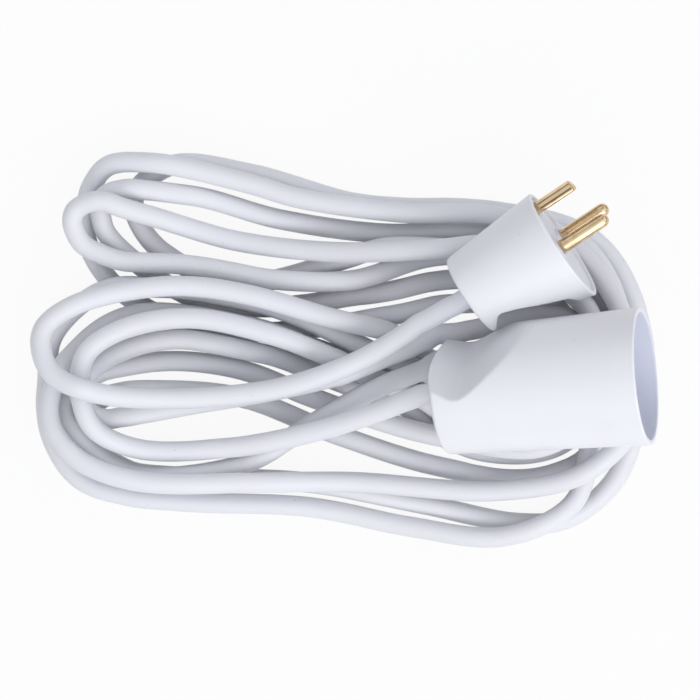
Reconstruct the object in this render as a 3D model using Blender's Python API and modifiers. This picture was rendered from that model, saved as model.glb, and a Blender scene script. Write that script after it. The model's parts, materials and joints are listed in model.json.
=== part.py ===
"""Earthed extension cord: a white mains cord thrown down in a flat hank of long
loops, with a round three-pin plug and a round deep-recess coupler lying on it.
Metres, +Z up. The origin is on the floor, under the middle of the hank."""
import bpy
import bmesh
import numpy as np
from math import asin, cos, degrees, pi, radians, sin, tau
from mathutils import Matrix, Vector

MM = 0.001
FIT = 0.3 * MM              # between pieces that touch
EDGE = 1.0 * MM             # rounding of the moulded edges
WALL = 1.8 * MM             # of both housings
OVER = 1 * MM               # how far a cutter or joined block reaches past the face it meets

# Cord
CORD_D = 7.2 * MM
LAY_GAP = 1.5 * MM         # kept between the middle lines of touching strands, past a diameter
LEAST_BEND = 10 * MM        # radius of the tightest fold
CORD_SAMPLE = 3.5 * MM
CORD_LAYER = 10 * MM        # height given to a layer before the pile settles
CORD_FIT = 0.30 * MM        # how far the tube's straight pieces may leave the settled line
CORD_FLAT = 0.1             # share of the diameter that rests flat on the floor
ORIGIN = Vector((-1.6, 0.0, 0)) * MM    # from the middle of the picture to the middle of the hank

# How the two fittings lie, from the middle of the picture: the pin axis at the rear,
# its heading from +X, its tilt up, and the turn of the earth side from level
PLUG_AT = Vector((42.0, 17.0, 37.2)) * MM
PLUG_LIE = (radians(33.5), radians(12), radians(8))
COUPLER_AT = Vector((32.2, -14.4, 37.6)) * MM
COUPLER_LIE = (radians(4.95), radians(15.8), radians(209))

# Plug housing: a cone whose front leans away from the earth pin
PLUG_LENGTH = 36 * MM
PLUG_REAR_R = 14.65 * MM
PLUG_FRONT_R = 20.3 * MM
PLUG_REAR_SHIFT = 2.0 * MM
PLUG_FRONT_SHIFT = -0.9 * MM
PLUG_BULGE = 1.5 * MM
PLUG_RIM = 1.6 * MM         # thickness of the rim round the pin face
PLUG_FACE_DEPTH = 1.0 * MM
PLUG_WIRING = 24 * MM       # room behind the base for the grip, the cores and the terminals
PLUG_BASE_DEEP = PLUG_LENGTH - PLUG_FACE_DEPTH - PLUG_WIRING
PLUG_SCOOP = [(-4, 14.6), (1.2, 14.2), (3.6, 11.4), (5.4, 9.7), (7.2, 9.3), (12.3, 10.6),
              (21.4, 14.1), (28.0, 16.6), (29.3, 18.4), (30.4, 20.3), (32.5, 22.6), (38, 30)]

# Pins
PIN_PITCH = 19 * MM
PIN_D = 4.8 * MM
PIN_REACH = 19.4 * MM
EARTH_Y = 14.4 * MM
EARTH_WIDE = 6.6 * MM
EARTH_THICK = 3.8 * MM
EARTH_WALL = 0.9 * MM
EARTH_REACH = 15 * MM
COLLAR_D = 7.2 * MM
COLLAR_HIGH = 0.8 * MM
TERMINAL_D = 6.2 * MM
TERMINAL_LONG = 8.5 * MM
EARTH_TERMINAL_D = 5.6 * MM
EARTH_TERMINAL_Y = 9 * MM

# Coupler housing
COUPLER_LENGTH = 69 * MM
COUPLER_REAR_R = 21.0 * MM
COUPLER_MOUTH_R = 23.0 * MM
COUPLER_BULGE = 4.0 * MM
RECESS_DEEP = 20 * MM
FACE_THICK = 2.7 * MM
COUPLER_BASE_DEEP = 19 * MM
COUPLER_SCOOP = [(-8, 12.6), (-3, 11.6), (0, 11.1), (3, 9.7), (5, 8.6), (7, 8.0), (9, 8.1), (11.5, 9.2),
                 (14, 10.7), (23, 16.6), (28, 19.7), (31, 21.2), (34, 22.2), (40, 30)]
HOLE_D = 5.6 * MM
SHUTTER_THICK = 2.2 * MM
SHUTTER_TRAVEL = 6.2 * MM
SHUTTER_WIDE = 25 * MM
SPRING_D = 3.6 * MM
SPRING_WIRE = 0.5 * MM
SPRING_TURNS = 6
SPRING_SQUEEZED = 6.4 * MM    # its room when the shutter is fully open
CONTACT_D = 6.6 * MM
CONTACT_DEEP = 12 * MM
SLIT = 0.8 * MM
LEAF = 0.7 * MM

# Cord grips and cores
GRIP_WIDE = 17 * MM
GRIP_LONG = 5 * MM
GRIP_THICK = 3 * MM
GRIP_HEAD_R = 2.5 * MM
GRIP_HEAD_HIGH = 1.6 * MM
GRIP_HEAD_EDGE = 0.4 * MM
SCREW_D = 3 * MM
GRIP_PITCH = 12 * MM
CORE_D = 2.4 * MM
POLES = ("line", "neutral", "earth")

# The cord's route from plug to coupler, millimetres from the middle of the
# picture, with the layer that each point lies in (1 is the floor).
ROUTE = [
    # down to the bend behind the plug, back over the pile and under the coupler
    (39, 17, 12), (-2, -6, 12), (-35, -15, 12), (-86, -15, 12), (-103, -7, 12), (-106, 6, 12),
    (-96, 15, 11), (-64, 22, 11), (-35, 19, 10), (-2, 8, 10), (28, -6, 6), (58, -20, 4),
    (75, -19, 4), (84, -6, 4), (74, 7, 4),
    # loop 2
    (44, -2, 5), (28, -8, 7), (14, -11, 9), (-12, -25, 9), (-38, -40, 7), (-73, -44, 5),
    (-85, -39, 5), (-97, -23, 5), (-96, -16, 5), (-72, -5, 5), (-42, -6, 5), (2, -22, 5),
    (31, -30, 5), (66, -33, 6), (84, -17, 6), (83, 11, 6), (64, 31, 5),
    # loop 3
    (31, 35, 5), (-4, 30, 5), (-35, 23, 5), (-51, 24, 5), (-71, 39, 5), (-76, 54, 5),
    (-63, 65, 5), (-35, 62, 6), (0, 52, 6), (18, 50, 6), (53, 48, 6), (85, 39, 6),
    (99, 18, 4), (100, -14, 2), (94, -44, 1), (77, -59, 1),
    # loop 4
    (60, -61, 1), (25, -54, 3), (-14, -47, 3), (-60, -45, 3), (-77, -43, 4), (-94, -29, 4),
    (-94, -21, 4), (-88, -15, 4), (-65, -14, 4), (-37, -17, 4), (-4, -30, 4), (32, -41, 4),
    (67, -44, 4), (90, -28, 4), (92, 4, 4), (78, 27, 6), (49, 36, 8),
    # loop 5
    (31, 35, 9), (-3, 34, 9), (-39, 38, 9), (-72, 47, 9), (-92, 50, 10), (-96, 47, 10),
    (-94, 41, 10), (-80, 31, 9), (-52, 26, 8), (-18, 24, 6), (-2, 25, 6), (35, 33, 6),
    (66, 28, 5), (83, 7, 3), (85, -22, 3), (76, -34, 3), (48, -36, 4),
    # loop 6
    (21, -20, 4), (-14, -7, 6), (-30, -1, 6), (-60, 4, 6), (-82, -2, 6), (-95, -14, 6),
    (-94, -20, 6), (-88, -23, 6), (-49, -18, 8), (-17, -12, 10), (14, -3, 10), (61, 9, 5),
    (84, 4, 5), (91, -10, 5), (81, -24, 5), (58, -23, 5),
    # loop 7
    (28, -8, 6), (-3, 5, 8), (-33, 16, 8), (-63, 23, 8), (-86, 21, 6), (-104, 5, 3),
    (-106, -11, 2), (-105, -30, 1), (-94, -46, 2), (-63, -52, 3), (-14, -55, 3), (21, -62, 3),
    (54, -65, 3), (78, -53, 4), (84, -30, 5), (93, -2, 5), (92, 15, 6), (76, 38, 7),
    # loop 8
    (46, 41, 9), (11, 41, 9), (-25, 46, 9), (-56, 54, 9), (-87, 53, 8), (-86, 42, 4),
    (-62, 23, 3), (-28, 15, 3), (4, 20, 5), (35, 27, 5), (53, 28, 4), (76, 16, 2),
    (86, -4, 2), (74, -22, 2),
    # loop 9
    (18, -10, 5), (-33, 9, 6), (-66, 14, 8), (-86, 8, 9), (-102, -11, 10), (-104, -24, 11),
    (-95, -37, 10), (-75, -45, 8), (-38, -46, 6), (0, -46, 5), (52, -49, 6), (82, -42, 6),
    (99, -23, 5), (95, 9, 6), (80, 32, 8), (52, 46, 10),
    # loop 10, and up into the coupler
    (17, 48, 11), (-18, 53, 11), (-35, 58, 11), (-68, 65, 11), (-85, 64, 10), (-91, 53, 7),
    (-91, 36, 5), (-81, 21, 3), (-55, 8, 2), (-19, 6, 2), (18, 14, 4), (35, 17, 4),
    (62, 14, 2), (77, 0, 1), (70, -17, 1), (40, -20, 3), (23, -14, 5), (-10, -1, 7),
    (-26, 5, 8), (-55, 11, 8), (-79, 7, 9), (-92, -3, 9), (-90, -25, 10), (-75, -34, 10),
    (-40, -34, 10), (-8, -27, 11), (10, -21, 11), (20, -17, 11), (28, -15, 11),
]


# ---------------------------------------------------------------- helpers

for old in list(bpy.data.objects):
    bpy.data.objects.remove(old)
parts = bpy.data.collections.new("extension_cord")
cutters = bpy.data.collections.new("cutters")
bpy.context.scene.collection.children.link(parts)
bpy.context.scene.collection.children.link(cutters)


def finish_of(name, colour, roughness, metallic=0.0):
    material = bpy.data.materials.new(name)
    material.use_nodes = True
    shader = material.node_tree.nodes["Principled BSDF"]
    shader.inputs["Base Color"].default_value = (*colour, 1)
    shader.inputs["Roughness"].default_value = roughness
    shader.inputs["Metallic"].default_value = metallic
    return material


WHITE_PVC = finish_of("white_pvc", (0.80, 0.80, 0.82), 0.45)
WHITE_PLASTIC = finish_of("white_plastic", (0.84, 0.84, 0.86), 0.35)
PALE_PLASTIC = finish_of("pale_plastic", (0.72, 0.72, 0.74), 0.5)
BRASS = finish_of("brass", (0.78, 0.57, 0.30), 0.25, 1.0)
STEEL = finish_of("steel", (0.55, 0.55, 0.56), 0.35, 1.0)
BROWN = finish_of("brown_core", (0.16, 0.07, 0.03), 0.5)
BLUE = finish_of("blue_core", (0.03, 0.13, 0.45), 0.5)
GREEN = finish_of("green_yellow_core", (0.25, 0.50, 0.06), 0.5)


def place(mesh, name, material=None, frame=None):
    """A piece of the cord, or a cutter where no material is given."""
    thing = bpy.data.objects.new(name, mesh)
    if material:
        mesh.materials.clear()
        mesh.materials.append(material)
        parts.objects.link(thing)
        mesh.shade_smooth()
        mesh.set_sharp_from_angle(angle=radians(35))
    else:
        cutters.objects.link(thing)
        thing.hide_render = True
        thing.display_type = "WIRE"
    thing.parent = frame
    return thing


def read_mesh(thing, move=None):
    """The evaluated mesh of a helper object, welded, and the helper removed."""
    bpy.context.scene.collection.objects.link(thing)
    bpy.context.view_layer.update()
    depsgraph = bpy.context.evaluated_depsgraph_get()
    mesh = bpy.data.meshes.new_from_object(thing.evaluated_get(depsgraph))
    bpy.data.objects.remove(thing)
    work = bmesh.new()
    work.from_mesh(mesh)
    bmesh.ops.remove_doubles(work, verts=work.verts, dist=1e-6)
    if move:
        bmesh.ops.transform(work, matrix=move, verts=work.verts)
    bmesh.ops.recalc_face_normals(work, faces=work.faces)
    work.to_mesh(mesh)
    work.free()
    return mesh


def turned(profile, steps=40, move=None):
    """A solid of revolution about Z: the profile (radius, z) runs down its outer side."""
    mesh = bpy.data.meshes.new("profile")
    mesh.from_pydata([(r, 0, z) for r, z in profile], [(k, k + 1) for k in range(len(profile) - 1)], [])
    thing = bpy.data.objects.new("profile", mesh)
    screw = thing.modifiers.new("turn", "SCREW")
    screw.steps = screw.render_steps = steps
    screw.use_merge_vertices = True
    screw.merge_threshold = 1e-5
    return read_mesh(thing, move)


def rod(diameter, low, high, x=0.0, y=0.0, sides=20):
    work = bmesh.new()
    bmesh.ops.create_cone(work, cap_ends=True, segments=sides, radius1=diameter / 2,
                          radius2=diameter / 2, depth=high - low,
                          matrix=Matrix.Translation((x, y, (low + high) / 2)))
    mesh = bpy.data.meshes.new("rod")
    work.to_mesh(mesh)
    work.free()
    return mesh


def block(low, high):
    size = Vector(high) - Vector(low)
    middle = (Vector(high) + Vector(low)) / 2
    work = bmesh.new()
    bmesh.ops.create_cube(work, size=1, matrix=Matrix.Translation(middle) @ Matrix.Diagonal((*size, 1)))
    mesh = bpy.data.meshes.new("block")
    work.to_mesh(mesh)
    work.free()
    return mesh


def prism(outline, half, move=None):
    """A flat outline as a filled curve, thickened to both sides."""
    curve = bpy.data.curves.new("outline", "CURVE")
    curve.dimensions = "2D"
    curve.fill_mode = "BOTH"
    curve.extrude = half
    line = curve.splines.new("POLY")
    line.points.add(len(outline) - 1)
    for point, (x, y) in zip(line.points, outline):
        point.co = (x, y, 0, 1)
    line.use_cyclic_u = True
    return read_mesh(bpy.data.objects.new("outline", curve), move)


def tube(points, diameter, resolution):
    curve = bpy.data.curves.new("tube", "CURVE")
    curve.dimensions = "3D"
    curve.bevel_depth = diameter / 2
    curve.bevel_resolution = resolution
    curve.use_fill_caps = True
    line = curve.splines.new("POLY")
    line.points.add(len(points) - 1)
    for point, place_at in zip(line.points, points):
        point.co = (*place_at, 1)
    return read_mesh(bpy.data.objects.new("tube", curve))


def boolean(thing, operation, *tools):
    for tool in tools:
        step = thing.modifiers.new(tool.name, "BOOLEAN")
        step.operation = operation
        step.object = tool


def cut(thing, *tools):
    boolean(thing, "DIFFERENCE", *tools)


def join(thing, *tools):
    boolean(thing, "UNION", *tools)


# An outline's x and y as the fittings' -Y and Z, or their Y and Z: both thickened along X
DOWN_AND_ALONG = Matrix(((0, 0, -1, 0), (-1, 0, 0, 0), (0, 1, 0, 0), (0, 0, 0, 1)))
UP_AND_ALONG = Matrix(((0, 0, 1, 0), (1, 0, 0, 0), (0, 1, 0, 0), (0, 0, 0, 1)))
# A screw's axis from Z to the fittings' Y
CROSSWAYS = Matrix.Rotation(-pi / 2, 4, "X")


def fitting_frame(name, at, lie):
    """An empty on the pin axis at the rear: Z towards the front, Y towards the earth side."""
    heading, tilt, turn = lie
    along = Vector((cos(heading) * cos(tilt), sin(heading) * cos(tilt), sin(tilt)))
    side = Vector((-sin(heading), cos(heading), 0))
    y = side * cos(turn) + along.cross(side) * sin(turn)
    x = y.cross(along)
    frame = bpy.data.objects.new(name, None)
    parts.objects.link(frame)
    frame.matrix_world = Matrix.Translation(at - ORIGIN) @ Matrix((x, y, along)).transposed().to_4x4()
    return frame


def cone_radius(rear_r, front_r, length, z):
    return rear_r + (front_r - rear_r) * z / length


def arc(middle, radius, start, stop, steps):
    """Points on an arc, from one angle to the other in degrees."""
    angles = [radians(start + (stop - start) * k / steps) for k in range(steps + 1)]
    return [(middle[0] + radius * cos(a), middle[1] + radius * sin(a)) for a in angles]


def scoop_cutter(name, floor, wall, middle_at, frame):
    """The finger scoop: its floor line, seen from the side, run straight across the
    housing. A wall above zero gives the scoop's inner side, for what is inside."""
    line = [Vector((n * MM, u * MM)) for u, n in floor]
    inner = []
    for k, point in enumerate(line):
        before, after = line[max(k - 1, 0)], line[min(k + 1, len(line) - 1)]
        along = (after - before).normalized()
        inner.append(point + Vector((-along.y, along.x)) * wall)
    outline = [(p.x - middle_at(p.y), p.y) for p in inner]
    far = 60 * MM
    outline += [(far, outline[-1][1]), (far, outline[0][1])]
    return place(prism(outline, far, DOWN_AND_ALONG), name, None, frame)


def cord_grip(prefix, frame, z, axis_y, tongue_low):
    """The bar and two screws that hold the sheath down on the base's tongue.
    Returns the screws' hole cutters."""
    low = axis_y + CORD_D / 2 + FIT
    saddle = low - CORD_D * 0.3
    bar = block((-GRIP_WIDE / 2, saddle, z), (GRIP_WIDE / 2, low + GRIP_THICK, z + GRIP_LONG))
    bar = place(bar, prefix + "_cord_grip", WHITE_PLASTIC, frame)
    groove = rod(CORD_D + 2 * FIT, z - OVER, z + GRIP_LONG + OVER, 0, axis_y, 24)
    cut(bar, place(groove, prefix + "_grip_saddle", None, frame))
    shank_low = tongue_low + 0.4 * MM
    head_low = low + GRIP_THICK + FIT
    head_high = head_low + GRIP_HEAD_HIGH
    holes = []
    for number, sign in ((1, -1), (2, 1)):
        centre = Matrix.Translation((sign * GRIP_PITCH / 2, 0, z + GRIP_LONG / 2)) @ CROSSWAYS
        shape = turned([(0, head_high), (GRIP_HEAD_R - GRIP_HEAD_EDGE, head_high),
                        (GRIP_HEAD_R, head_high - GRIP_HEAD_EDGE), (GRIP_HEAD_R, head_low),
                        (SCREW_D / 2, head_low), (SCREW_D / 2, shank_low), (0, shank_low)], 16, centre)
        place(shape, f"{prefix}_grip_screw_{number}", STEEL, frame)
        hole = rod(SCREW_D + 2 * FIT, shank_low - FIT, head_high, sides=16)
        hole.transform(centre)
        holes.append(place(hole, f"{prefix}_grip_hole_{number}", None, frame))
    cut(bar, *holes)
    return holes


def add_tongue(base, prefix, frame, low, high, grip_z, base_rear):
    """The arm under the cord: wide under the grip, slim between the terminals."""
    wide = GRIP_WIDE / 2 - 0.3 * MM
    slim = PIN_PITCH / 2 - TERMINAL_D / 2 - 2 * FIT
    middle = grip_z + GRIP_LONG + 1 * MM
    tongue = block((-wide, low, grip_z - 1 * MM), (wide, high, middle))
    arm = block((-slim, low, middle - OVER), (slim, high, base_rear + OVER))
    join(base, place(tongue, prefix + "_tongue", None, frame), place(arm, prefix + "_arm", None, frame))


def terminal_screws(prefix, frame, spots, z):
    """A grub screw in each terminal, from the earth side. Returns their hole cutters."""
    holes = []
    low = 1.0 * MM
    high = TERMINAL_D / 2 + 1.4 * MM
    for name, (x, y) in zip(POLES, spots):
        centre = Matrix.Translation((x, y, z)) @ CROSSWAYS
        shape = rod(SCREW_D, low, high, sides=14)
        shape.transform(centre)
        place(shape, f"{prefix}_{name}_screw", STEEL, frame)
        hole = rod(SCREW_D + 2 * FIT, low - FIT, high + OVER, sides=14)
        hole.transform(centre)
        holes.append(place(hole, f"{prefix}_{name}_screw_hole", None, frame))
    return holes


def cores(prefix, frame, start_z, end_z, axis_y, spots):
    """The three insulated cores, from the sheath's end to their terminals."""
    for name, colour, (x, y) in zip(POLES, (BROWN, BLUE, GREEN), spots):
        side = (x > 0) - (x < 0)
        begin = Vector((side * 1.5 * MM, axis_y + (-1.0 if side else 1.7) * MM, start_z))
        end = Vector((x, y, end_z))
        across = Vector((end.x - begin.x, end.y - begin.y, 0))
        along = Vector((0, 0, end_z - start_z))
        stub = 0.8 * MM / along.z
        path = [begin]
        for k in range(9):
            t = k / 8
            eased = t * t * (3 - 2 * t)
            path.append(begin + across * eased + along * (stub + (1 - 2 * stub) * t))
        place(tube(path + [end], CORE_D, 1), f"{prefix}_{name}_core", colour, frame)


# ---------------------------------------------------------------- plug

def plug_shift(z):
    """How far the housing's middle line lies from the pin axis, towards the earth side."""
    return PLUG_REAR_SHIFT + (PLUG_FRONT_SHIFT - PLUG_REAR_SHIFT) * z / PLUG_LENGTH


def lean(mesh):
    """Shears a turned shape so that its middle follows plug_shift."""
    slope = (PLUG_FRONT_SHIFT - PLUG_REAR_SHIFT) / PLUG_LENGTH
    mesh.transform(Matrix(((1, 0, 0, 0), (0, 1, slope, PLUG_REAR_SHIFT), (0, 0, 1, 0), (0, 0, 0, 1))))
    return mesh


def plug_radius(z):
    return cone_radius(PLUG_REAR_R, PLUG_FRONT_R, PLUG_LENGTH, z)


def half_round(grow=0.0):
    """Outline of the half-round earth pin: flat towards the other two pins."""
    half = EARTH_WIDE / 2 + grow
    low = EARTH_Y - EARTH_THICK / 2 - grow
    centre = EARTH_Y + EARTH_THICK / 2 - EARTH_WIDE / 2
    start = degrees(asin(max((low - centre) / half, 0)))
    foot = [(-half, low), (half, low)] if low < centre else []
    return foot + arc((0, centre), half, start, 180 - start, 10)


def make_plug():
    frame = fitting_frame("plug_frame", PLUG_AT, PLUG_LIE)
    face = PLUG_LENGTH - PLUG_FACE_DEPTH
    base_rear = face - PLUG_BASE_DEEP

    outer = turned([(0, PLUG_LENGTH)]
                   + arc((PLUG_FRONT_R - EDGE, PLUG_LENGTH - EDGE), EDGE, 90, 0, 4)
                   + [(plug_radius(EDGE), EDGE)]
                   + arc((PLUG_REAR_R - EDGE, EDGE), EDGE, 0, -75, 3)
                   + [(PLUG_REAR_R * 0.6, -PLUG_BULGE * 0.55), (PLUG_REAR_R * 0.3, -PLUG_BULGE * 0.9),
                      (0, -PLUG_BULGE)], 48)
    cover = place(lean(outer), "plug_cover", WHITE_PLASTIC, frame)
    mouth_r = PLUG_FRONT_R - PLUG_RIM
    mouth_low = PLUG_LENGTH - 0.5 * MM
    bottom_r = plug_radius(WALL) - WALL
    inside = turned([(0, PLUG_LENGTH + OVER), (mouth_r, PLUG_LENGTH + OVER), (mouth_r, mouth_low),
                     (bottom_r, WALL), (0, WALL)], 40)
    hollow = place(lean(inside), "plug_hollow", None, frame)
    cut(hollow, scoop_cutter("plug_scoop_inner", PLUG_SCOOP, WALL, plug_shift, frame))
    cut(cover, scoop_cutter("plug_scoop", PLUG_SCOOP, 0, plug_shift, frame), hollow,
        place(rod(CORD_D + 2 * FIT, -5 * MM, 5 * MM, 0, PLUG_REAR_SHIFT, 24), "plug_cord_hole", None, frame))

    # The base that carries the pins, with its tongue under the cord
    front_r = mouth_r - FIT
    taper = (mouth_r - bottom_r) / (mouth_low - WALL)
    body = turned([(0, face), (front_r - taper * PLUG_FACE_DEPTH, face),
                   (front_r - taper * (PLUG_LENGTH - base_rear), base_rear), (0, base_rear)], 40)
    base = place(lean(body), "plug_base", WHITE_PLASTIC, frame)
    tongue_high = PLUG_REAR_SHIFT - CORD_D / 2 - FIT
    tongue_low = tongue_high - 2.9 * MM
    grip_z = 4.6 * MM
    add_tongue(base, "plug", frame, tongue_low, tongue_high, grip_z, base_rear)
    for sign in (-1, 1):
        collar = rod(COLLAR_D, face - OVER, face + COLLAR_HIGH, sign * PIN_PITCH / 2, 0, 24)
        join(base, place(collar, f"plug_collar_{sign}", None, frame))
    cut(base, scoop_cutter("plug_scoop_base", PLUG_SCOOP, WALL + FIT, plug_shift, frame))
    cut(base, *cord_grip("plug", frame, grip_z, PLUG_REAR_SHIFT, tongue_low))

    # Line and neutral pins: round, with a round nose and a thicker terminal behind the base
    spots = [(PIN_PITCH / 2, 0), (-PIN_PITCH / 2, 0), (0, EARTH_TERMINAL_Y)]
    terminal_low = base_rear - TERMINAL_LONG
    holes = terminal_screws("plug", frame, spots, terminal_low + TERMINAL_LONG / 2)
    tip = face + PIN_REACH
    for name, (x, y), hole in zip(("line", "neutral"), spots, holes):
        r = PIN_D / 2
        pin = turned([(0, tip)] + arc((0, tip - r), r, 90, 0, 6)[1:]
                     + [(r, base_rear - FIT), (TERMINAL_D / 2, base_rear - FIT),
                        (TERMINAL_D / 2, terminal_low), (0, terminal_low)],
                     24, Matrix.Translation((x, y, 0)))
        pin = place(pin, name + "_pin", BRASS, frame)
        cut(pin, hole)
        hole = rod(PIN_D + 2 * FIT, base_rear - OVER, face + COLLAR_HIGH + OVER, x, y, 24)
        cut(base, place(hole, name + "_pin_hole", None, frame))

    # Earth pin: a hollow half-round with a slanting tip, a strap inwards and its terminal
    tip = face + EARTH_REACH
    strap_low = face - 5.4 * MM
    strap_high = strap_low + 1.6 * MM
    strap_wide = 2.4 * MM
    strap_y = EARTH_TERMINAL_Y - 1 * MM
    pin = prism(half_round(), (tip - strap_low) / 2, Matrix.Translation((0, 0, (tip + strap_low) / 2)))
    earth = place(pin, "earth_pin", BRASS, frame)
    bore_low = face + 1.5 * MM
    bore = prism(half_round(-EARTH_WALL), EARTH_REACH / 2,
                 Matrix.Translation((0, 0, bore_low + EARTH_REACH / 2)))
    nose = block((-EARTH_WIDE, -1.5 * MM, 0), (EARTH_WIDE, 1.5 * MM, 6 * MM))
    nose.transform(Matrix.Translation((0, EARTH_Y - EARTH_THICK / 2 - 1.6 * MM, tip - 2.4 * MM))
                   @ Matrix.Rotation(radians(-35), 4, "X"))
    strap = block((-strap_wide, strap_y, strap_low), (strap_wide, EARTH_Y, strap_high))
    terminal = rod(EARTH_TERMINAL_D, terminal_low, strap_high, 0, EARTH_TERMINAL_Y, 24)
    cut(earth, place(bore, "earth_pin_bore", None, frame), place(nose, "earth_pin_nose", None, frame))
    join(earth, place(strap, "earth_strap", None, frame), place(terminal, "earth_terminal", None, frame))
    cut(earth, holes[2])
    slot = prism(half_round(FIT), 10 * MM, Matrix.Translation((0, 0, strap_low - FIT + 10 * MM)))
    strap_slot = block((-strap_wide - FIT, strap_y, base_rear - OVER),
                       (strap_wide + FIT, EARTH_Y, strap_high + FIT))
    terminal_slot = rod(EARTH_TERMINAL_D + 2 * FIT, base_rear - OVER, strap_high + FIT,
                        0, EARTH_TERMINAL_Y, 24)
    cut(base, place(slot, "earth_slot", None, frame), place(strap_slot, "earth_strap_slot", None, frame),
        place(terminal_slot, "earth_terminal_slot", None, frame))

    tail_end = grip_z + GRIP_LONG + 1 * MM
    place(rod(CORD_D, -PLUG_BULGE, tail_end, 0, PLUG_REAR_SHIFT, 24), "plug_sheath_end", WHITE_PVC, frame)
    cores("plug", frame, tail_end + FIT, terminal_low - FIT, PLUG_REAR_SHIFT, spots)
    return frame


# ---------------------------------------------------------------- coupler

def coupler_radius(z):
    return cone_radius(COUPLER_REAR_R, COUPLER_MOUTH_R, COUPLER_LENGTH, z)


def centred(_):
    return 0.0


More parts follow.
